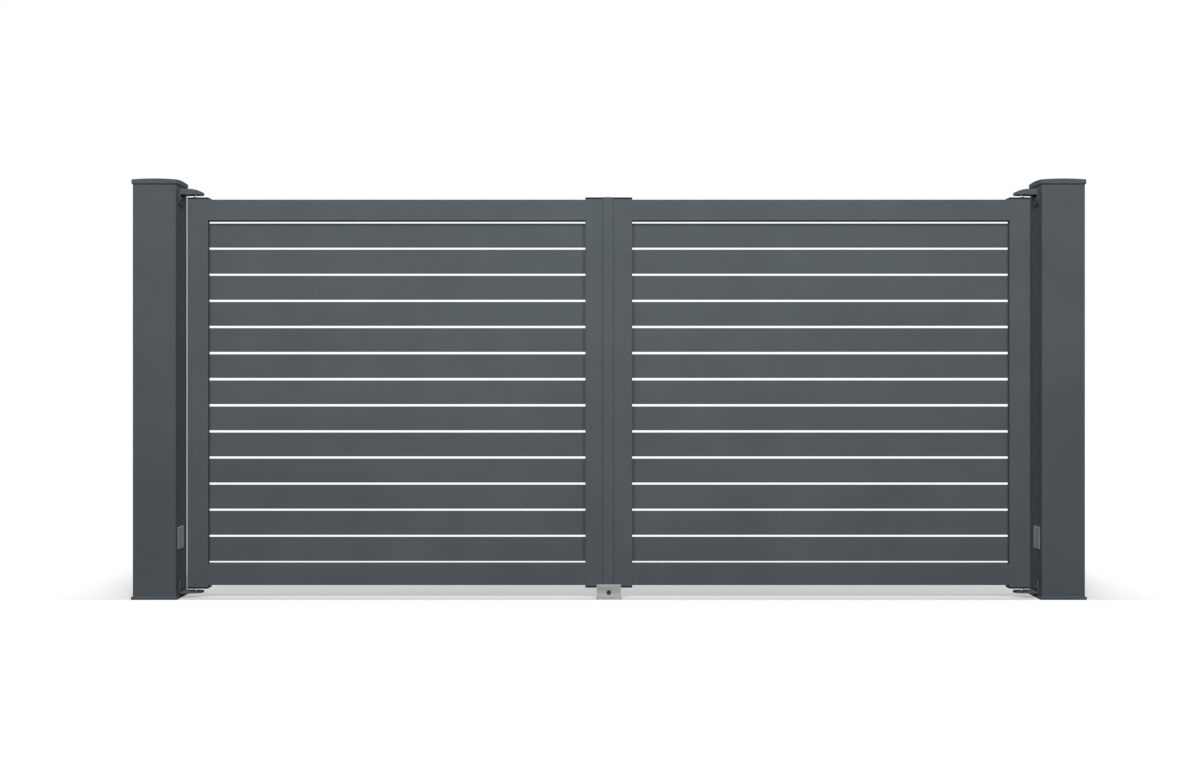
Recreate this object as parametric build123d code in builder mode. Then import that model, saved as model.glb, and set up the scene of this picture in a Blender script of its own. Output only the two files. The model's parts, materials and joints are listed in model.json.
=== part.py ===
"""Double-leaf driveway gate: slatted hollow-section leaves hinged between two square posts.

The origin is the centre of the left post's base, on the ground.
+X runs along the closed gate to the right post, +Y goes into the drive, +Z is up.
Everything is modelled on the left, and the right side is its mirror image.
"""

import os
from math import sqrt

from build123d import *

os.makedirs("parts", exist_ok=True)

# Driving dimensions of the posts, in millimetres
OPENING = 3500  # clear width between the posts
POST_SIZE = 174
POST_WALL = 4
POST_CORNER = 2.5
POST_RISE = 46  # post above the top of the leaves
OVERHANG = 5.5  # of the cap and of the base plate beyond the post
BASE_THICKNESS = 13
CAP_RIM = 20
CAP_CROWN = 8  # rise of the dome from the cap's corners to its centre
CAP_CORNER = 8
CAP_WALL = 4
CAP_PLAY = 0.5  # between the cap's skirt and the inside of the post

# Driving dimensions of the leaves
LEAF_BOTTOM = 37  # foot of the hinge stiles
LEAF_HEIGHT = 1595
LEAF_DEPTH = 65
MEETING_FOOT_RISE = 4.5  # the meeting stiles end this much higher
POST_GAP = 32  # between post and closed leaf
MEETING_GAP = 21
FACE = 85  # face width of stiles and rails
PROFILE_WALL = 2.2
PROFILE_CORNER = 1.5
RABBET = 9  # width of the lip that covers the slat ends
SLAT_SETBACK = 26  # from the frame's face to the slats' face
SLAT_DEPTH = 24.5
SLAT_COUNT = 13
SLAT_GAP = 10
SLAT_WALL = 1.5
SLAT_BEVEL = 1
STILE_BELOW_RAIL = 15
STILE_ABOVE_RAIL = 9
END_CAP = 7
CAP_PLUG = 14

# Driving dimensions of the hinges
PIVOT_INSET = 26  # from the leaf's hinge edge to the pivot axis
HINGE_GAP = 12  # between leaf and hinge tongue
TONGUE_ROOT = 24
TONGUE_SHOULDER = 22.5  # thickness where the nose starts to fall away
TONGUE_TIP = 9
TONGUE_BEVEL = 2
NOSE_RADIUS = 35
NOSE_RUN = 12  # the fall starts this far before the pivot
FLANGE_WIDTH = 84
FLANGE_THICKNESS = 6
FLANGE_OVER = 28  # from the tongue's leaf side, away from the leaf
FLANGE_BESIDE = 47  # from the tongue's leaf side, beside the leaf
SLOT_SPACING = 38
SLOT_LENGTH = 30
SLOT_WIDTH = 8
RIB_WIDTH = 13
RIB_PROUD = 5
RIB_LENGTH = 33
PIN_RADIUS = 6
PIN_REACH = 45  # pin inside the leaf
PIN_SOCKET = 8  # pin inside the tongue, right through the lower one
RUNNING_CLEARANCE = 0.05
BUSH_WALL = 5
BUSH_FLANGE = 3
BUSH_FLOOR = 2  # closes the bush at the pin's end
LOWER_TONGUE = 7  # thickness of the lower bracket's flat tongue

# Driving dimensions of the fittings
STRIP_SEAT = 13  # part of the cover strip on the left stile
STRIP_OVERLAP = 7  # reach over the right stile
STRIP_STAND = 6
STRIP_FLANGE = 3
PHOTOCELL_WIDTH = 85
PHOTOCELL_HEIGHT = 93
PHOTOCELL_SHIFT = 16  # its centre lies this far in front of the posts' centre
PHOTOCELL_LEVEL = 244
PHOTOCELL_EDGE = 1
PHOTOCELL_BEVEL = 3
STOP_WIDTH = 98
STOP_HEIGHT = 57
STOP_FOOT = 6
STOP_FOOT_MARGIN = 3
STOP_CLEARANCE = 5
BOLT_RADIUS = 9
BOLT_HOLE_PLAY = 1.5

# Derived places
POST_FACE = POST_SIZE / 2
POST_INSIDE = POST_SIZE - 2 * POST_WALL
BASE_SIZE = POST_SIZE + 2 * OVERHANG
GATE_MIDDLE = POST_FACE + OPENING / 2
MIRROR_PLANE = Plane.YZ.offset(GATE_MIDDLE)
LEAF_TOP = LEAF_BOTTOM + LEAF_HEIGHT
LEAF_LEVEL = (LEAF_BOTTOM + LEAF_TOP) / 2
POST_TOP = LEAF_TOP + POST_RISE
MEETING_FOOT = LEAF_BOTTOM + MEETING_FOOT_RISE
LEAF_EDGE = POST_FACE + POST_GAP
MEETING_EDGE = GATE_MIDDLE - MEETING_GAP / 2
LEAF_FRONT = -LEAF_DEPTH / 2
LEAF_BACK = LEAF_DEPTH / 2
LIP_BACK = LEAF_FRONT + SLAT_SETBACK
PIVOT_X = LEAF_EDGE + PIVOT_INSET
BUSH_RADIUS = PIN_RADIUS + BUSH_WALL
SLAT_START = LEAF_EDGE + FACE - RABBET
SLAT_END = MEETING_EDGE - FACE + RABBET
SLAT_LENGTH = SLAT_END - SLAT_START
RAIL_BOTTOM = LEAF_BOTTOM + STILE_BELOW_RAIL
RAIL_TOP = LEAF_TOP - STILE_ABOVE_RAIL
FIELD_BOTTOM = RAIL_BOTTOM + FACE
FIELD_TOP = RAIL_TOP - FACE
SLAT_PITCH = (FIELD_TOP - FIELD_BOTTOM - SLAT_GAP) / SLAT_COUNT
SLAT_HEIGHT = SLAT_PITCH - SLAT_GAP
TONGUE_FACE = LEAF_TOP + HINGE_GAP  # the side of the top tongue that faces the leaf
TONGUE_END = PIVOT_X + NOSE_RADIUS
STRIP_FRONT = LEAF_FRONT - STRIP_STAND - STRIP_FLANGE


# Base plate: its upper edge is bevelled down to the overhang
with BuildPart() as base_plate:
    with BuildSketch():
        Rectangle(BASE_SIZE, BASE_SIZE)
    extrude(amount=BASE_THICKNESS)
    upper_edges = base_plate.faces().sort_by(Axis.Z)[-1].edges()
    chamfer(upper_edges, length=OVERHANG / 2)

# Post: a square hollow section that stands on the base plate
with BuildPart() as post:
    with BuildSketch(Plane.XY.offset(BASE_THICKNESS)):
        RectangleRounded(POST_SIZE, POST_SIZE, POST_CORNER)
        Rectangle(POST_INSIDE, POST_INSIDE, mode=Mode.SUBTRACT)
    extrude(amount=POST_TOP - BASE_THICKNESS)

# Cap: a hollow casting, whose crown is a shallow sphere, so its upper edges bow between the corners
CAP_REACH = BASE_SIZE / 2
CROWN_RADIUS = (2 * CAP_REACH**2 + CAP_CROWN**2) / (2 * CAP_CROWN)
CROWN_CENTRE = POST_TOP + CAP_RIM + CAP_CROWN - CROWN_RADIUS
CROWN_EDGE = sqrt(CROWN_RADIUS**2 - CAP_REACH**2)  # radius of the arcs along the upper edges
CAP_BEVEL = OVERHANG / 2
SKIRT_SIZE = POST_INSIDE - 2 * CAP_PLAY

# A wide disc with conical flanks, which bevels two opposite upper edges of the cap evenly
with BuildPart() as cap_beveller:
    disc_radius = CROWN_EDGE + CAP_CROWN
    flank_top = CAP_REACH - CAP_CROWN - CAP_BEVEL
    flank_foot = CAP_REACH + CAP_BEVEL
    with BuildSketch(Plane.YZ):
        with BuildLine():
            Polyline(
                (-flank_foot, CROWN_CENTRE),
                (-flank_foot, CROWN_CENTRE - disc_radius + flank_foot - flank_top),
                (-flank_top, CROWN_CENTRE - disc_radius),
                (flank_top, CROWN_CENTRE - disc_radius),
                (flank_foot, CROWN_CENTRE - disc_radius + flank_foot - flank_top),
                (flank_foot, CROWN_CENTRE),
                close=True,
            )
        make_face()
    revolve(axis=Axis((0, 0, CROWN_CENTRE), (0, 1, 0)))

with BuildPart() as post_cap:
    with BuildSketch(Plane.XY.offset(POST_TOP)):
        RectangleRounded(BASE_SIZE, BASE_SIZE, CAP_CORNER)
    extrude(amount=CAP_RIM + CAP_CROWN)
    lower_edges = post_cap.faces().sort_by(Axis.Z)[0].edges()
    chamfer(lower_edges, length=OVERHANG * 0.8)
    with Locations((0, 0, CROWN_CENTRE)):
        Sphere(CROWN_RADIUS, rotation=(90, 0, 0), mode=Mode.INTERSECT)
    for turn in (0, 90):
        add(cap_beveller.part.rotate(Axis.Z, turn), mode=Mode.INTERSECT)
    # The skirt enters the post, and the hollow inside it reaches up into the rim
    with BuildSketch(Plane.XY.offset(POST_TOP)):
        Rectangle(SKIRT_SIZE, SKIRT_SIZE)
    extrude(amount=-CAP_RIM)
    with BuildSketch(Plane.XY.offset(POST_TOP - CAP_RIM)):
        Rectangle(SKIRT_SIZE - 2 * CAP_WALL, SKIRT_SIZE - 2 * CAP_WALL)
    extrude(amount=2 * CAP_RIM - CAP_WALL, mode=Mode.SUBTRACT)


# Top hinge bracket: a cast tongue over the leaf, on a flange with two slots and a rib
with BuildPart() as top_bracket:
    with BuildSketch(Plane.XY.offset(TONGUE_FACE)):
        with BuildLine():
            Line((POST_FACE, -FLANGE_WIDTH / 2), (POST_FACE, FLANGE_WIDTH / 2))
            CenterArc((PIVOT_X, 0), NOSE_RADIUS, -90, 180)
        make_hull()
    extrude(amount=TONGUE_ROOT)
    # The tongue's side profile: nearly level to the pivot, then an arc down to the nose
    with BuildSketch(Plane.XZ):
        with BuildLine():
            fall_start = (PIVOT_X - NOSE_RUN, TONGUE_FACE + TONGUE_SHOULDER)
            level_run = Line((POST_FACE, TONGUE_FACE + TONGUE_ROOT), fall_start)
            fall = TangentArc(fall_start, (TONGUE_END, TONGUE_FACE + TONGUE_TIP), tangent=level_run % 1)
            Polyline(fall @ 1, (TONGUE_END, TONGUE_FACE), (POST_FACE, TONGUE_FACE), level_run @ 0)
        make_face()
    extrude(amount=FLANGE_WIDTH, both=True, mode=Mode.INTERSECT)
    upper_faces = top_bracket.faces().filter_by(lambda face: face.normal_at().Z > 0.5)
    side_edges = upper_faces.edges().filter_by(lambda edge: abs(edge.center().Y) > 1)
    nose_edges = upper_faces.edges().sort_by(Axis.X)[-1:]
    chamfer(ShapeList(set(side_edges + nose_edges)), length=TONGUE_BEVEL)
    # The flange is rounded at the end that lies beside the leaf
    with BuildSketch(Plane.YZ.offset(POST_FACE)) as flange_outline:
        with Locations((0, TONGUE_FACE - FLANGE_BESIDE)):
            Rectangle(FLANGE_WIDTH, FLANGE_BESIDE + FLANGE_OVER, align=(Align.CENTER, Align.MIN))
        fillet(flange_outline.vertices().group_by(Axis.Z)[0], radius=FLANGE_WIDTH / 3)
        fillet(flange_outline.vertices().group_by(Axis.Z)[-1], radius=FLANGE_THICKNESS)
    extrude(amount=FLANGE_THICKNESS)
    with BuildSketch(Plane.YZ.offset(POST_FACE)):
        with Locations((0, TONGUE_FACE - RIB_LENGTH)):
            Rectangle(RIB_WIDTH, RIB_LENGTH, align=(Align.CENTER, Align.MIN))
            Circle(RIB_WIDTH / 2)
    extrude(amount=FLANGE_THICKNESS + RIB_PROUD)
    with BuildSketch(Plane.YZ.offset(POST_FACE)):
        with Locations((0, TONGUE_FACE - RIB_LENGTH / 2)):
            with GridLocations(SLOT_SPACING, 0, 2, 1):
                SlotOverall(SLOT_LENGTH, SLOT_WIDTH, rotation=90)
    extrude(amount=FLANGE_THICKNESS, mode=Mode.SUBTRACT)
    with BuildSketch(Plane.XY.offset(TONGUE_FACE)):
        with Locations((PIVOT_X, 0)):
            Circle(PIN_RADIUS + RUNNING_CLEARANCE)
    extrude(amount=PIN_SOCKET, mode=Mode.SUBTRACT)

# Bottom hinge bracket: the same casting upside down, planed to a flat tongue over the base plate
with BuildPart() as bottom_bracket:
    mirror(top_bracket.part, about=Plane.XY.offset(LEAF_LEVEL))
    split(bisect_by=Plane.XY.offset(LEAF_BOTTOM - HINGE_GAP - LOWER_TONGUE), keep=Keep.TOP)

# Top hinge pin: pressed into the tongue, it reaches down into the leaf's bush
with BuildPart() as top_pin:
    with BuildSketch(Plane.XY.offset(LEAF_TOP - PIN_REACH)):
        with Locations((PIVOT_X, 0)):
            Circle(PIN_RADIUS)
    extrude(amount=PIN_REACH + HINGE_GAP + PIN_SOCKET)

with BuildPart() as bottom_pin:
    mirror(top_pin.part, about=Plane.XY.offset(LEAF_LEVEL))


# Photocell: a thin bevelled cover low on the post's inner face
with BuildPart() as photocell:
    with BuildSketch(Plane.YZ.offset(POST_FACE)):
        with Locations((-PHOTOCELL_SHIFT, PHOTOCELL_LEVEL)):
            RectangleRounded(PHOTOCELL_WIDTH, PHOTOCELL_HEIGHT, 2 * PHOTOCELL_BEVEL)
    extrude(amount=PHOTOCELL_EDGE)
    extrude(photocell.faces().sort_by(Axis.X)[-1], amount=PHOTOCELL_BEVEL, taper=50)


# Floor stop: a ramp with a bevelled lip and a hollow toe, on a foot a little wider than itself
STOP_BACK = STRIP_FRONT - STOP_CLEARANCE
STOP_LIP = STOP_BACK - 10
STOP_KNEE = STOP_LIP - 8
STOP_FRONT = STOP_KNEE - 15
LIP_LEVEL = STOP_HEIGHT - 7
KNEE_LEVEL = STOP_HEIGHT * 0.45
BOLT_SINK = 4  # depth of the stepped hole's wide part
BOLT_LENGTH = 8

with BuildPart() as floor_stop:
    with BuildSketch(MIRROR_PLANE):
        with BuildLine():
            ramp = Polyline(
                (STOP_FRONT, STOP_FOOT),
                (STOP_BACK, STOP_FOOT),
                (STOP_BACK, STOP_HEIGHT),
                (STOP_LIP + 4, STOP_HEIGHT),
                (STOP_LIP, LIP_LEVEL),
                (STOP_KNEE, KNEE_LEVEL),
            )
            TangentArc(ramp @ 1, ramp @ 0, tangent=ramp % 1)
        make_face()
    extrude(amount=STOP_WIDTH / 2, both=True)
    with BuildSketch():
        with Locations((GATE_MIDDLE, STOP_BACK)):
            Rectangle(
                STOP_WIDTH + 2 * STOP_FOOT_MARGIN,
                STOP_BACK - STOP_FRONT,
                align=(Align.CENTER, Align.MAX),
            )
    extrude(amount=STOP_FOOT)
    # The bolt enters square to the ramp, in a stepped hole
    ramp_plane = Plane(
        origin=(GATE_MIDDLE, STOP_KNEE, KNEE_LEVEL),
        x_dir=(1, 0, 0),
        z_dir=(0, KNEE_LEVEL - LIP_LEVEL, STOP_LIP - STOP_KNEE),
    )
    with BuildSketch(ramp_plane.offset(-BOLT_SINK)):
        Circle(BOLT_RADIUS + BOLT_HOLE_PLAY)
    extrude(amount=STOP_HEIGHT, mode=Mode.SUBTRACT)
    with BuildSketch(ramp_plane.offset(-BOLT_SINK)):
        Circle(BOLT_RADIUS + RUNNING_CLEARANCE)
    extrude(amount=-BOLT_LENGTH, mode=Mode.SUBTRACT)

with BuildPart() as floor_stop_bolt:
    with BuildSketch(ramp_plane.offset(-BOLT_SINK - BOLT_LENGTH)):
        Circle(BOLT_RADIUS)
    extrude(amount=BOLT_LENGTH + BOLT_SINK / 2)
    with BuildSketch(ramp_plane.offset(-BOLT_SINK / 2)):
        RegularPolygon(BOLT_RADIUS / 2, 6)
    extrude(amount=-BOLT_SINK, mode=Mode.SUBTRACT)


# Hinge stile: a hollow profile with a lip that covers the ends of the rails' backs and the slats
with BuildPart() as hinge_stile:
    with BuildSketch(Plane.XY.offset(LEAF_BOTTOM + END_CAP)) as stile_outline:
        with BuildLine():
            Polyline(
                (LEAF_EDGE, LEAF_FRONT),
                (LEAF_EDGE + FACE, LEAF_FRONT),
                (LEAF_EDGE + FACE, LIP_BACK),
                (SLAT_START, LIP_BACK),
                (SLAT_START, LEAF_BACK),
                (LEAF_EDGE, LEAF_BACK),
                close=True,
            )
        make_face()
        corners = stile_outline.vertices().filter_by(lambda corner: corner.Y != LIP_BACK)
        fillet(corners, radius=PROFILE_CORNER)
        offset(amount=-PROFILE_WALL, kind=Kind.INTERSECTION, mode=Mode.SUBTRACT)
    extrude(amount=LEAF_HEIGHT - 2 * END_CAP)

# The meeting stile is the same profile turned round, and a little shorter at its foot
with BuildPart() as meeting_stile:
    mirror(hinge_stile.part, about=Plane.YZ.offset((LEAF_EDGE + MEETING_EDGE) / 2))
    split(bisect_by=Plane.XY.offset(MEETING_FOOT + END_CAP), keep=Keep.TOP)

# Bottom rail: a hollow profile between the stiles, notched at its ends round their lips
with BuildPart() as bottom_rail:
    with BuildSketch(Plane.YZ.offset(SLAT_START)):
        with Locations((0, RAIL_BOTTOM + FACE / 2)):
            RectangleRounded(LEAF_DEPTH, FACE, PROFILE_CORNER)
            Rectangle(LEAF_DEPTH - 2 * PROFILE_WALL, FACE - 2 * PROFILE_WALL, mode=Mode.SUBTRACT)
    extrude(amount=SLAT_LENGTH)
    with BuildSketch(Plane.XY.offset(RAIL_BOTTOM)):
        with Locations((SLAT_START, LIP_BACK), (SLAT_END, LIP_BACK)):
            Rectangle(2 * RABBET, 2 * SLAT_SETBACK, align=(Align.CENTER, Align.MAX))
    extrude(amount=FACE, mode=Mode.SUBTRACT)

with BuildPart() as top_rail:
    mirror(bottom_rail.part, about=Plane.XY.offset((RAIL_BOTTOM + RAIL_TOP) / 2))

# One slat: a flat two-celled profile, whose ends seat behind the lips of the stiles
with BuildPart() as slat:
    cell_depth = SLAT_DEPTH - 2 * SLAT_WALL
    cell_height = (SLAT_HEIGHT - 3 * SLAT_WALL) / 2
    with BuildSketch(Plane.YZ.offset(SLAT_START)) as slat_outline:
        with Locations((LIP_BACK + SLAT_DEPTH / 2, FIELD_BOTTOM + SLAT_GAP + SLAT_HEIGHT / 2)):
            Rectangle(SLAT_DEPTH, SLAT_HEIGHT)
            chamfer(slat_outline.vertices(), length=SLAT_BEVEL)
            with GridLocations(0, cell_height + SLAT_WALL, 1, 2):
                Rectangle(cell_depth, cell_height, mode=Mode.SUBTRACT)
    extrude(amount=SLAT_LENGTH)

with BuildPart() as slats:
    for row in range(SLAT_COUNT):
        with Locations((0, 0, row * SLAT_PITCH)):
            add(slat.part)

# End caps: a rectangular plate over each end of both stiles, with a plug in the tube
with BuildPart() as end_caps:
    plug_width = FACE - RABBET - 2 * PROFILE_WALL - 1
    plug_depth = LEAF_DEPTH - 2 * PROFILE_WALL - 1
    hinge_side = (LEAF_EDGE + FACE / 2, LEAF_EDGE + (FACE - RABBET) / 2)
    meeting_side = (MEETING_EDGE - FACE / 2, MEETING_EDGE - (FACE - RABBET) / 2)
    stile_ends = (
        (*hinge_side, LEAF_BOTTOM, 1),
        (*hinge_side, LEAF_TOP, -1),
        (*meeting_side, MEETING_FOOT, 1),
        (*meeting_side, LEAF_TOP, -1),
    )
    for plate_x, plug_x, level, inward in stile_ends:
        with BuildSketch(Plane.XY.offset(level)) as plate_outline:
            with Locations((plate_x, 0)):
                Rectangle(FACE, LEAF_DEPTH)
            chamfer(plate_outline.vertices(), length=PROFILE_CORNER / 2)
        extrude(amount=inward * END_CAP)
        with BuildSketch(Plane.XY.offset(level)):
            with Locations((plug_x, 0)):
                Rectangle(plug_width, plug_depth)
        extrude(amount=inward * (END_CAP + CAP_PLUG))
    for level, inward in ((LEAF_BOTTOM, 1), (LEAF_TOP, -1)):
        with BuildSketch(Plane.XY.offset(level)):
            with Locations((PIVOT_X, 0)):
                Circle(BUSH_RADIUS + RUNNING_CLEARANCE)
        extrude(amount=inward * (END_CAP + CAP_PLUG), mode=Mode.SUBTRACT)

# Hinge bushes: flanged cups in the hinge stile's end caps, which turn on the pins
with BuildPart() as hinge_bushes:
    cup_depth = PIN_REACH + RUNNING_CLEARANCE
    for level, inward in ((LEAF_BOTTOM, 1), (LEAF_TOP, -1)):
        with BuildSketch(Plane.XY.offset(level)):
            with Locations((PIVOT_X, 0)):
                Circle(BUSH_RADIUS)
        extrude(amount=inward * (cup_depth + BUSH_FLOOR))
        with BuildSketch(Plane.XY.offset(level)):
            with Locations((PIVOT_X, 0)):
                Circle(BUSH_RADIUS + BUSH_FLANGE)
        extrude(amount=-inward * BUSH_FLANGE)
        with BuildSketch(Plane.XY.offset(level - inward * BUSH_FLANGE)):
            with Locations((PIVOT_X, 0)):
                Circle(PIN_RADIUS + RUNNING_CLEARANCE)
        extrude(amount=inward * (cup_depth + BUSH_FLANGE), mode=Mode.SUBTRACT)

# Cover strip: seated on the left meeting stile, with a flange over the right one
with BuildPart() as cover_strip:
    strip_left = MEETING_EDGE - STRIP_SEAT
    strip_right = MEETING_EDGE + MEETING_GAP + STRIP_OVERLAP
    with BuildSketch(Plane.XY.offset(MEETING_FOOT)) as strip_outline:
        with BuildLine():
            Polyline(
                (strip_left, LEAF_FRONT),
                (MEETING_EDGE, LEAF_FRONT),
                (MEETING_EDGE, LEAF_FRONT - STRIP_STAND),
                (strip_right, LEAF_FRONT - STRIP_STAND),
                (strip_right, STRIP_FRONT),
                (strip_left, STRIP_FRONT),
                close=True,
            )
        make_face()
        fillet(strip_outline.vertices().group_by(Axis.Y)[0], radius=STRIP_FLANGE / 3)
    extrude(amount=LEAF_TOP - MEETING_FOOT)


def save(piece, name):
    """Labels a piece and writes its file."""
    piece.part.label = name
    export_step(piece.part, f"parts/{name}.step")


# Pieces in the middle of the gate, and pieces that have a twin on the right
middle_pieces = {
    "floor_stop": floor_stop,
    "floor_stop_bolt": floor_stop_bolt,
    "cover_strip": cover_strip,
}
side_pieces = {
    "base_plate": base_plate,
    "post": post,
    "post_cap": post_cap,
    "top_hinge_bracket": top_bracket,
    "bottom_hinge_bracket": bottom_bracket,
    "top_hinge_pin": top_pin,
    "bottom_hinge_pin": bottom_pin,
    "photocell": photocell,
    "hinge_stile": hinge_stile,
    "meeting_stile": meeting_stile,
    "bottom_rail": bottom_rail,
    "top_rail": top_rail,
    "slats": slats,
    "end_caps": end_caps,
    "hinge_bushes": hinge_bushes,
}
for name, piece in middle_pieces.items():
    save(piece, name)
for name, piece in side_pieces.items():
    with BuildPart() as twin:
        mirror(piece.part, about=MIRROR_PLANE)
    save(piece, f"left_{name}")
    save(twin, f"right_{name}")
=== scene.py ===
"""The double-leaf slatted gate, dressed: powder coat, steel, plastic, zinc and hinge screws."""

import json
from math import cos, pi, radians, sin

import bmesh
import bpy
from mathutils import Matrix, Vector


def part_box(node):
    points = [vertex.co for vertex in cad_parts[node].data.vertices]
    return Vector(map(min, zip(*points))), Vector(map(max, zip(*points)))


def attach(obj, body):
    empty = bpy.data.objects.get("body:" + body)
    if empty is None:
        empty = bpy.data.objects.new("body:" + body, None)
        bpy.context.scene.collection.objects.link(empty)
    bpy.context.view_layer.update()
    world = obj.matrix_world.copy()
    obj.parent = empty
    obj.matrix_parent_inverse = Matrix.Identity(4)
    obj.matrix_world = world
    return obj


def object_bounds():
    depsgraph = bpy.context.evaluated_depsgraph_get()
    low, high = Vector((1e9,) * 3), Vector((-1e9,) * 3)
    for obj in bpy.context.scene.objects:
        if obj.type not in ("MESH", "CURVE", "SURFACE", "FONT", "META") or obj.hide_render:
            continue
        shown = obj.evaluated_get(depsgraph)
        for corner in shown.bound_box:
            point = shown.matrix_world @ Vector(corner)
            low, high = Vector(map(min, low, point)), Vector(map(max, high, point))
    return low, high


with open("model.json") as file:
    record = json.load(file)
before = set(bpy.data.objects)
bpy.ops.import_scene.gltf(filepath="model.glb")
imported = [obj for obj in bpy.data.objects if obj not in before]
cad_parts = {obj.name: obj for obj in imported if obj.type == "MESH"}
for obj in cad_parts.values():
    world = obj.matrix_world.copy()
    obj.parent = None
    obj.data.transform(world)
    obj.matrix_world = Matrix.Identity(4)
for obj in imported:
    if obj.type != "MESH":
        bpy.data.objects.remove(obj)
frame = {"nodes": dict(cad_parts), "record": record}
CAD_BOX = [list(corner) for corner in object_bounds()]
NODES = frame["nodes"]
SCENE = bpy.context.scene


# Camera: level, in front of the gate and a little left of its middle
PHOTO_WIDTH = 1192  # pixels
FOCAL_LENGTH = 1571  # pixels
HORIZON_ABOVE_MIDDLE = 8  # pixels
SENSOR = 36.0  # millimetres
EYE = Vector((1.785, -6.434, 0.904))


def add_camera():
    data = bpy.data.cameras.new("gate_camera")
    data.sensor_width = SENSOR
    data.lens = FOCAL_LENGTH * SENSOR / PHOTO_WIDTH
    data.shift_y = -HORIZON_ABOVE_MIDDLE / PHOTO_WIDTH
    camera = bpy.data.objects.new("gate_camera", data)
    camera.location = EYE
    camera.rotation_euler = (radians(90), 0, 0)
    SCENE.collection.objects.link(camera)
    SCENE.camera = camera


# Colours
def srgb(red, green, blue):
    """A colour as a screen shows it, 0 to 255, as Blender's linear values."""

    def linear(part):
        part /= 255
        return part / 12.92 if part <= 0.04045 else ((part + 0.055) / 1.055) ** 2.4

    return (linear(red), linear(green), linear(blue), 1.0)


def scaled(colour, factor):
    return (*(min(part * factor, 1.0) for part in colour[:3]), 1.0)


WHITE = (1.0, 1.0, 1.0, 1.0)
ANTHRACITE = srgb(83, 89, 93)
STAINLESS = srgb(246, 247, 248)
BOLT_BLACK = srgb(52, 54, 55)
BOLT_RUBBED = srgb(120, 122, 122)
ZINC = srgb(144, 148, 147)
BUSH_GREY = srgb(38, 39, 41)
END_CAP_GREY = srgb(30, 32, 34)
PHOTOCELL_GREY = srgb(136, 137, 137)
PALE_FLOOR = (srgb(164, 164, 164), srgb(171, 171, 171))
DULL_FLOOR = srgb(65, 65, 65)


# Node writing
class Value:
    """A socket that carries numbers, on which arithmetic adds Math nodes."""

    def __init__(self, graph, socket):
        self.graph = graph
        self.socket = socket

    def math(self, operation, *others):
        return self.graph.number(operation, self, *others)

    def __add__(self, other):
        return self.math("ADD", other)

    def __sub__(self, other):
        return self.math("SUBTRACT", other)

    def __mul__(self, other):
        return self.math("MULTIPLY", other)

    __radd__ = __add__
    __rmul__ = __mul__

    def __rsub__(self, other):
        return self.graph.number("SUBTRACT", other, self)

    def smooth(self, low, high):
        """0 below low, 1 above high, and an eased step between."""
        settings = {"interpolation_type": "SMOOTHSTEP"}
        return self.graph.node("ShaderNodeMapRange", settings, {0: self, 1: low, 2: high})[0]


class Outputs:
    """A node's outputs, by name or number, each wrapped as a Value."""

    def __init__(self, graph, node):
        self.graph = graph
        self.node = node

    def __getitem__(self, key):
        return Value(self.graph, self.node.outputs[key])


class Graph:
    """The nodes of one material or world."""

    def __init__(self, block):
        block.use_nodes = True
        self.tree = block.node_tree
        self.tree.nodes.clear()

    def node(self, kind, settings=None, inputs=None):
        """Adds a node: its settings first, then the values or links of its sockets."""
        made = self.tree.nodes.new(kind)
        for name, value in (settings or {}).items():
            setattr(made, name, value)
        for key, value in (inputs or {}).items():
            if isinstance(value, Value):
                self.tree.links.new(value.socket, made.inputs[key])
            else:
                made.inputs[key].default_value = value
        return Outputs(self, made)

    def number(self, operation, *values):
        return self.node("ShaderNodeMath", {"operation": operation}, dict(enumerate(values)))[0]

    def vector(self, operation, *values):
        settings = {"operation": operation}
        return self.node("ShaderNodeVectorMath", settings, dict(enumerate(values)))[0]

    def place(self, stretch=(1, 1, 1)):
        """The point on the object, in metres, stretched along the axes."""
        point = self.node("ShaderNodeTexCoord")["Object"]
        return self.vector("MULTIPLY", point, stretch)

    def along(self, point, axis):
        return self.node("ShaderNodeSeparateXYZ", {}, {0: point})[axis]

    def noise(self, point, scale, detail=3.0, roughness=0.55):
        inputs = {"Vector": point, "Scale": scale, "Detail": detail, "Roughness": roughness}
        return self.node("ShaderNodeTexNoise", {}, inputs)["Fac"]

    def colours(self, mask, first, second):
        """A colour that goes from first to second with the mask."""
        inputs = {"Factor": mask, 6: first, 7: second}  # 6, 7 and output 2 carry colours
        return self.node("ShaderNodeMix", {"data_type": "RGBA"}, inputs)[2]

    def bump(self, height, strength, distance):
        inputs = {"Height": height, "Strength": strength, "Distance": distance}
        return self.node("ShaderNodeBump", {}, inputs)["Normal"]

    def light(self, kind, strength):
        """White light, from an Emission or Background node."""
        return self.node(kind, {}, {"Color": WHITE, "Strength": strength})[0]

    def mix(self, mask, first, second):
        """A shader that goes from first to second with the mask."""
        return self.node("ShaderNodeMixShader", {}, {0: mask, 1: first, 2: second})[0]


def new_material(name, build):
    """A material whose build function returns what feeds the shader's sockets."""
    material = bpy.data.materials.new(name)
    graph = Graph(material)
    shader = graph.node("ShaderNodeBsdfPrincipled", {}, build(graph))
    graph.node("ShaderNodeOutputMaterial", {}, {"Surface": shader["BSDF"]})
    return material


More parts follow.
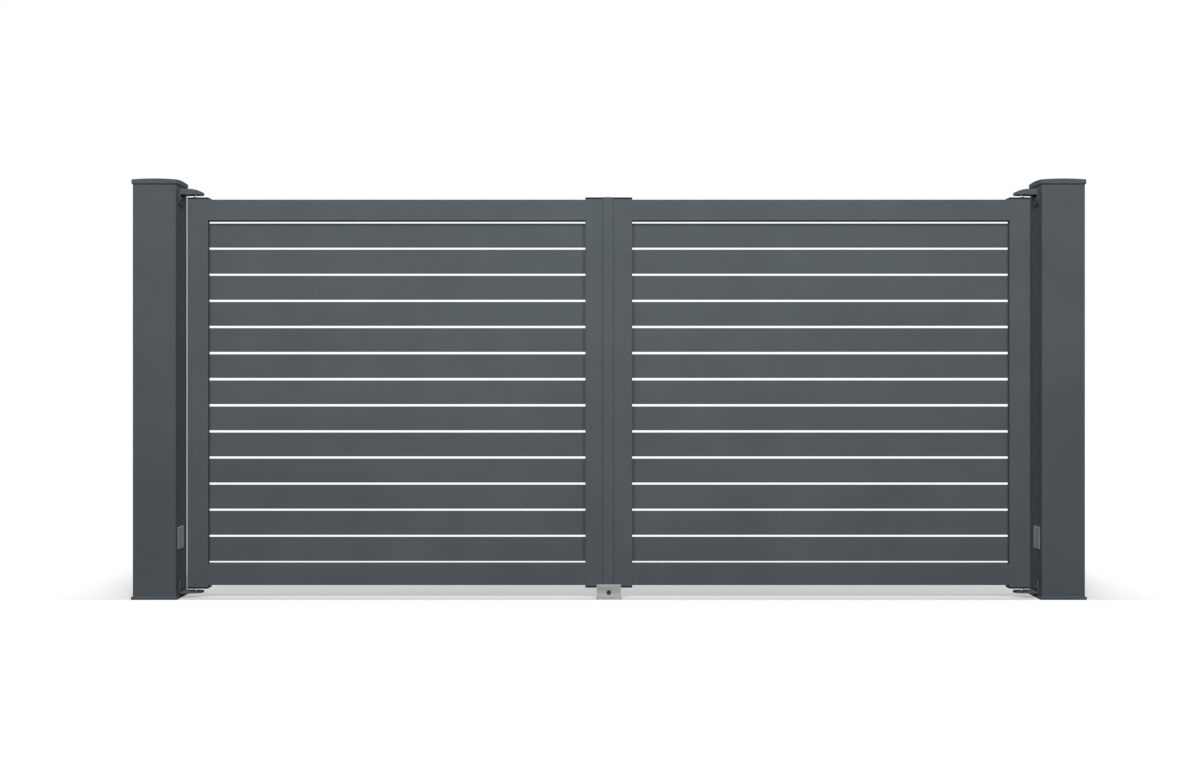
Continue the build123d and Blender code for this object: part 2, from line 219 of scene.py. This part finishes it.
# Finishes: texture scales count repeats across a metre, and depths are in metres
COAT_GRAIN = 900.0
COAT_PEEL = 150.0
COAT_CLOUD = 3.2
COAT_DEPTH = 0.0004
LATHE_RINGS = (60, 60, 2600)  # stretched round the upright axis
LATHE_SMEARS = (90, 90, 25)
LATHE_DEPTH = 0.0002
BOLT_GRAIN = 260.0
BOLT_DEPTH = 0.0003
ZINC_CRYSTALS = 130.0
ZINC_PATCHES = 45.0
ZINC_SAND = 620.0
ZINC_DEPTH = 0.0005
ZINC_PAINTED_BOUNCE_FOOT = (0.012, 0.034)  # heights between which the painted bounce light on the foot ends
ZINC_PAINTED_LIP_HIGHLIGHT = (0.0485, 0.0505)  # and the painted highlight on the upper lip begins
PLASTIC_FLOW = 24.0
PLASTIC_DEPTH = 0.0003


def powder_coat(tone, gloss=0.0):
    """Fine textured powder coat: pimpled grain, a faint painted glint on the grain's peaks and
    slow clouding.
    """

    def build(graph):
        point = graph.place()
        grain = graph.noise(point, COAT_GRAIN, 2.0)
        peel = graph.noise(point, COAT_PEEL, 2.0)
        cloud = graph.noise(point, COAT_CLOUD, 4.0, 0.6)
        # painted glint: the grain's peaks are lightened in the colour and made a little glossier
        painted_glint = grain.smooth(0.62, 0.74)
        colour = graph.colours(cloud.smooth(0.3, 0.7), scaled(tone, 0.94), scaled(tone, 1.05))
        return {
            "Base Color": graph.colours(painted_glint * 0.35, colour, scaled(tone, 1.9)),
            "Roughness": 0.7 - gloss + cloud * 0.08 - painted_glint * 0.1,
            "Specular IOR Level": 0.06,
            "Normal": graph.bump(grain * 0.7 + peel * 0.3, 0.35, COAT_DEPTH),
        }

    return build


def turned_steel(graph):
    """Stainless steel off the lathe: fine rings round the upright axis."""
    rings = graph.noise(graph.place(LATHE_RINGS), 1.0)
    smears = graph.noise(graph.place(LATHE_SMEARS), 1.0)
    return {
        "Base Color": graph.colours(rings, scaled(STAINLESS, 0.86), STAINLESS),
        "Metallic": 1.0,
        "Roughness": 0.1 + rings * 0.08 + smears * 0.08,
        "Normal": graph.bump(rings, 0.25, LATHE_DEPTH),
    }


def dark_bolt(graph):
    """Blackened steel, rubbed lighter where the grain stands up."""
    grain = graph.noise(graph.place(), BOLT_GRAIN, 4.0)
    rubbed = grain.smooth(0.52, 0.75)
    return {
        "Base Color": graph.colours(rubbed, BOLT_BLACK, BOLT_RUBBED),
        "Metallic": 0.7,
        "Roughness": 0.5 - rubbed * 0.15,
        "Normal": graph.bump(grain, 0.3, BOLT_DEPTH),
    }


def galvanised(graph):
    """Hot dip zinc on a casting: dull patches, crystal edges and a sandy skin, with painted
    bounce light on the foot and a painted highlight on the upper lip.
    """
    point = graph.place()
    inputs = {"Vector": point, "Scale": ZINC_CRYSTALS}
    crystals = graph.node("ShaderNodeTexVoronoi", {"feature": "F1"}, inputs)
    patches = graph.noise(point, ZINC_PATCHES, 4.0)
    sand = graph.noise(point, ZINC_SAND)
    spangle = crystals["Distance"].smooth(0.1, 0.75)
    height = graph.along(point, "Z")
    colour = graph.colours(patches.smooth(0.35, 0.65), scaled(ZINC, 0.9), scaled(ZINC, 1.08))
    colour = graph.colours(spangle * 0.3, colour, scaled(ZINC, 1.25))
    # painted bounce light: the foot below these heights is lighter, as if lit from the floor
    colour = graph.colours(height.smooth(*ZINC_PAINTED_BOUNCE_FOOT), scaled(ZINC, 1.45), colour)
    return {
        # painted highlight: the upper lip is lighter, as where the lamp catches its bevel
        "Base Color": graph.colours(height.smooth(*ZINC_PAINTED_LIP_HIGHLIGHT), colour, scaled(ZINC, 1.25)),
        "Metallic": 0.4,
        "Roughness": 0.55 + patches * 0.12 - spangle * 0.08,
        "Normal": graph.bump(sand * 0.7 + spangle * 0.3, 0.4, ZINC_DEPTH),
    }


def moulded_plastic(tone, grain_scale):
    """Moulded plastic with a fine spark-eroded texture."""

    def build(graph):
        point = graph.place()
        grain = graph.noise(point, grain_scale, 2.0)
        flow = graph.noise(point, PLASTIC_FLOW).smooth(0.3, 0.7)
        return {
            "Base Color": graph.colours(flow, scaled(tone, 0.92), scaled(tone, 1.07)),
            "Roughness": 0.5 + grain * 0.12,
            "Specular IOR Level": 0.2,
            "Normal": graph.bump(grain, 0.3, PLASTIC_DEPTH),
        }

    return build


FINISHES = {
    "post_coating": powder_coat(scaled(ANTHRACITE, 0.92)),
    "frame_coating": powder_coat(scaled(ANTHRACITE, 0.98)),
    "slat_coating": powder_coat(ANTHRACITE, gloss=0.02),
    "bracket_coating": powder_coat(scaled(ANTHRACITE, 0.95), gloss=0.05),
    "pin_steel": turned_steel,
    "bush_polymer": moulded_plastic(BUSH_GREY, grain_scale=500.0),
    "cap_plastic": moulded_plastic(END_CAP_GREY, grain_scale=700.0),
    "photocell_housing": moulded_plastic(PHOTOCELL_GREY, grain_scale=800.0),
    "zinc_casting": galvanised,
    "bolt_steel": dark_bolt,
}
MATERIALS = {name: new_material(name, build) for name, build in FINISHES.items()}


def dress_nodes():
    """Gives each CAD node the finish that the record names for it."""
    for row in frame["record"]["subparts"]:
        for slot in NODES[row["node"]].material_slots:
            slot.material = MATERIALS[row["material_slot"]]


# Hinge screws: button heads with a hexagon socket, on washers over the flange's slots
HEAD_RADIUS = 0.0066
HEAD_HEIGHT = 0.0034
HEAD_PROFILE = ((1, 0), (1, 0.3), (0.95, 0.55), (0.85, 0.78), (0.72, 0.93), (0.58, 1))
SOCKET_RADIUS = 0.0029  # to the hexagon's corners
SOCKET_DEPTH = 0.6  # share of the head's height
WASHER_RADIUS = 0.0078
WASHER_THICKNESS = 0.0012
WASHER_EDGE = 0.0002
ROUND_STEPS = 36
SHARP_ANGLE = radians(35)

# The hinge brackets' sizes, as in the CAD
FLANGE_THICKNESS = 0.006
SLOT_SPACING = 0.038
SLOT_LEVEL = 0.0305  # from the flange's end beside the leaf to the slots' middle


def ring(bm, radius, height):
    turns = (2 * pi * step / ROUND_STEPS for step in range(ROUND_STEPS))
    return [bm.verts.new((radius * cos(turn), radius * sin(turn), height)) for turn in turns]


def hexagon_ring(bm, radius, height):
    """A ring on a hexagon's outline, with as many points as the round ones."""
    points = []
    for step in range(ROUND_STEPS):
        turn = 2 * pi * step / ROUND_STEPS
        reach = radius * cos(pi / 6) / cos(turn % (pi / 3) - pi / 6)
        points.append(bm.verts.new((reach * cos(turn), reach * sin(turn), height)))
    return points


def close_over(bm, rings):
    """A closed form over rings, bottom to top."""
    for low, high in zip(rings, rings[1:]):
        for step in range(ROUND_STEPS):
            after = (step + 1) % ROUND_STEPS
            bm.faces.new((low[step], low[after], high[after], high[step]))
    bm.faces.new(reversed(rings[0]))
    bm.faces.new(rings[-1])


def new_mesh(name, bm):
    mesh = bpy.data.meshes.new(name)
    bm.to_mesh(mesh)
    bm.free()
    return mesh


def hinge_screw_mesh():
    """A washer and a button head, standing along +Z from their seat."""
    bm = bmesh.new()
    washer = (
        (WASHER_RADIUS - WASHER_EDGE, 0),
        (WASHER_RADIUS, WASHER_EDGE),
        (WASHER_RADIUS, WASHER_THICKNESS - WASHER_EDGE),
        (WASHER_RADIUS - WASHER_EDGE, WASHER_THICKNESS),
    )
    close_over(bm, [ring(bm, radius, height) for radius, height in washer])
    head = [
        ring(bm, HEAD_RADIUS * wide, WASHER_THICKNESS + HEAD_HEIGHT * high)
        for wide, high in HEAD_PROFILE
    ]
    for depth in (0, SOCKET_DEPTH):
        level = WASHER_THICKNESS + HEAD_HEIGHT * (1 - depth)
        head.append(hexagon_ring(bm, SOCKET_RADIUS, level))
    close_over(bm, head)
    return new_mesh("hinge_screw", bm)


def join_copies(name, mesh, places, material):
    """One object of copies of the mesh, each at its own matrix."""
    bm = bmesh.new()
    for place in places:
        start = len(bm.verts)
        bm.from_mesh(mesh)
        bm.verts.ensure_lookup_table()
        bmesh.ops.transform(bm, matrix=place, verts=bm.verts[start:])
    joined = new_mesh(name, bm)
    joined.materials.append(material)
    joined.shade_smooth()
    joined.set_sharp_from_angle(angle=SHARP_ANGLE)
    made = bpy.data.objects.new(name, joined)
    SCENE.collection.objects.link(made)
    return made


def add_hinge_screws():
    """Two screws in each hinge flange, on the bracket's side next to the post."""
    mesh = hinge_screw_mesh()
    for side, facing in (("left", 1), ("right", -1)):
        turn = Matrix.Rotation(radians(90) * facing, 4, "Y")
        for end in ("top", "bottom"):
            low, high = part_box(f"{side}_{end}_hinge_bracket")
            seat = low[0] + FLANGE_THICKNESS if side == "left" else high[0] - FLANGE_THICKNESS
            level = low[2] + SLOT_LEVEL if end == "top" else high[2] - SLOT_LEVEL
            seats = [(seat, shift * SLOT_SPACING / 2, level) for shift in (-1, 1)]
            places = [Matrix.Translation(point) @ turn for point in seats]
            name = f"{side}_{end}_hinge_screws"
            screws = join_copies(name, mesh, places, MATERIALS["bracket_coating"])
            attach(screws, "posts")


# Studio: pale floor, white surroundings and soft lamps
FLOOR_LEVEL = -0.0005
FLOOR_HALF = 30.0
FLOOR_SPECKS = 40.0  # across a metre
FLOOR_GLOW = 0.35
WORLD_LIGHT = 0.15
FADE_SIDES = (1.94, 2.3)  # the floor fades to white between these distances from the middle
FADE_BEHIND = (0.5, 1.1)
FADE_IN_FRONT = (0.08, 0.098)
GATE_MIDDLE = Vector(((CAD_BOX[0][0] + CAD_BOX[1][0]) / 2, 0, 0))


def seen_directly(graph):
    """1 for camera, glossy and transmission rays."""
    path = graph.node("ShaderNodeLightPath")
    seen = graph.number("MAXIMUM", path["Is Camera Ray"], path["Is Glossy Ray"])
    return seen.math("MAXIMUM", path["Is Transmission Ray"])


def floor_shader(graph):
    """A diffuse floor that takes shadows, fades to white far out and throws little light back."""
    point = graph.place()
    offset = graph.vector("SUBTRACT", point, GATE_MIDDLE)
    sides = graph.along(offset, "X").math("ABSOLUTE").smooth(*FADE_SIDES)
    inwards = graph.along(offset, "Y")
    depth = inwards.smooth(*FADE_BEHIND).math("MAXIMUM", (0 - inwards).smooth(*FADE_IN_FRONT))
    pale = graph.colours(graph.noise(point, FLOOR_SPECKS), *PALE_FLOOR)
    near = graph.node("ShaderNodeBsdfDiffuse", {}, {"Color": pale})[0]
    glow = graph.light("ShaderNodeEmission", FLOOR_GLOW)
    lit = graph.node("ShaderNodeAddShader", {}, {0: near, 1: glow})[0]
    white = graph.light("ShaderNodeEmission", 1.0)
    faded = graph.mix(sides.math("MAXIMUM", depth), lit, white)
    dull = graph.node("ShaderNodeBsdfDiffuse", {}, {"Color": DULL_FLOOR})[0]
    return graph.mix(seen_directly(graph), dull, faded)


def add_floor():
    bm = bmesh.new()
    corners = [(x * FLOOR_HALF, y * FLOOR_HALF) for x, y in ((-1, -1), (1, -1), (1, 1), (-1, 1))]
    bm.faces.new([bm.verts.new((x, y, FLOOR_LEVEL)) for x, y in corners])
    mesh = new_mesh("studio_floor", bm)
    material = bpy.data.materials.new("studio_floor")
    graph = Graph(material)
    graph.node("ShaderNodeOutputMaterial", {}, {"Surface": floor_shader(graph)})
    mesh.materials.append(material)
    floor = bpy.data.objects.new("studio_floor", mesh)
    SCENE.collection.objects.link(floor)


def add_world():
    world = bpy.data.worlds.new("studio_world")
    SCENE.world = world
    graph = Graph(world)
    soft = graph.light("ShaderNodeBackground", WORLD_LIGHT)
    white = graph.light("ShaderNodeBackground", 1.0)
    surroundings = graph.mix(seen_directly(graph), soft, white)
    graph.node("ShaderNodeOutputWorld", {}, {"Surface": surroundings})


# Lamps: soft rectangles, which are turned towards the gate at one height
AIM_HEIGHT = 0.9
FRONT_DISTANCE = 4.8  # from the gate to the three lamps in front
FRONT_SPREAD = 2.3  # from the middle to the outer two of them
BACK_DISTANCE = 4.8  # to the lamp behind each post
SIDE_DISTANCE = 2.6  # from a post to the lamp beside it
MIDDLE_LAMP_HEIGHT = 4.9
OUTER_LAMP_HEIGHT = 3.9  # in front and behind
SIDE_LAMP_HEIGHT = 1.3


def add_lamp(name, place, target, size, power):
    """A lamp that lights the gate without showing in it."""
    data = bpy.data.lights.new(name, "AREA")
    data.shape = "RECTANGLE"
    data.size, data.size_y = size
    data.energy = power
    lamp = bpy.data.objects.new(name, data)
    lamp.location = place
    lamp.rotation_euler = (Vector(target) - Vector(place)).to_track_quat("-Z", "Y").to_euler()
    lamp.visible_glossy = False
    lamp.visible_camera = False
    SCENE.collection.objects.link(lamp)


def add_lamps():
    """Three lamps in front, and one behind and one beside each post."""
    middle = GATE_MIDDLE.x
    target = (middle, 0, AIM_HEIGHT)
    place = (middle, -FRONT_DISTANCE, MIDDLE_LAMP_HEIGHT)
    add_lamp("front_lamp", place, target, size=(0.8, 2.4), power=216)
    for side, edge, outwards in (("left", CAD_BOX[0][0], -1), ("right", CAD_BOX[1][0], 1)):
        place = (middle + outwards * FRONT_SPREAD, -FRONT_DISTANCE, OUTER_LAMP_HEIGHT)
        add_lamp(f"front_{side}_lamp", place, target, size=(0.6, 2.0), power=124)
        place = (edge, BACK_DISTANCE, OUTER_LAMP_HEIGHT)
        leaf = ((edge + middle) / 2, 0, AIM_HEIGHT)
        add_lamp(f"back_{side}_lamp", place, leaf, size=(0.6, 2.0), power=135)
        place = (edge + outwards * SIDE_DISTANCE, 0, SIDE_LAMP_HEIGHT)
        post = (edge, 0, AIM_HEIGHT)
        add_lamp(f"{side}_lamp", place, post, size=(0.25, 1.6), power=45)


add_camera()
dress_nodes()
add_hinge_screws()
add_floor()
add_world()
add_lamps()
SCENE.view_settings.view_transform = "Standard"
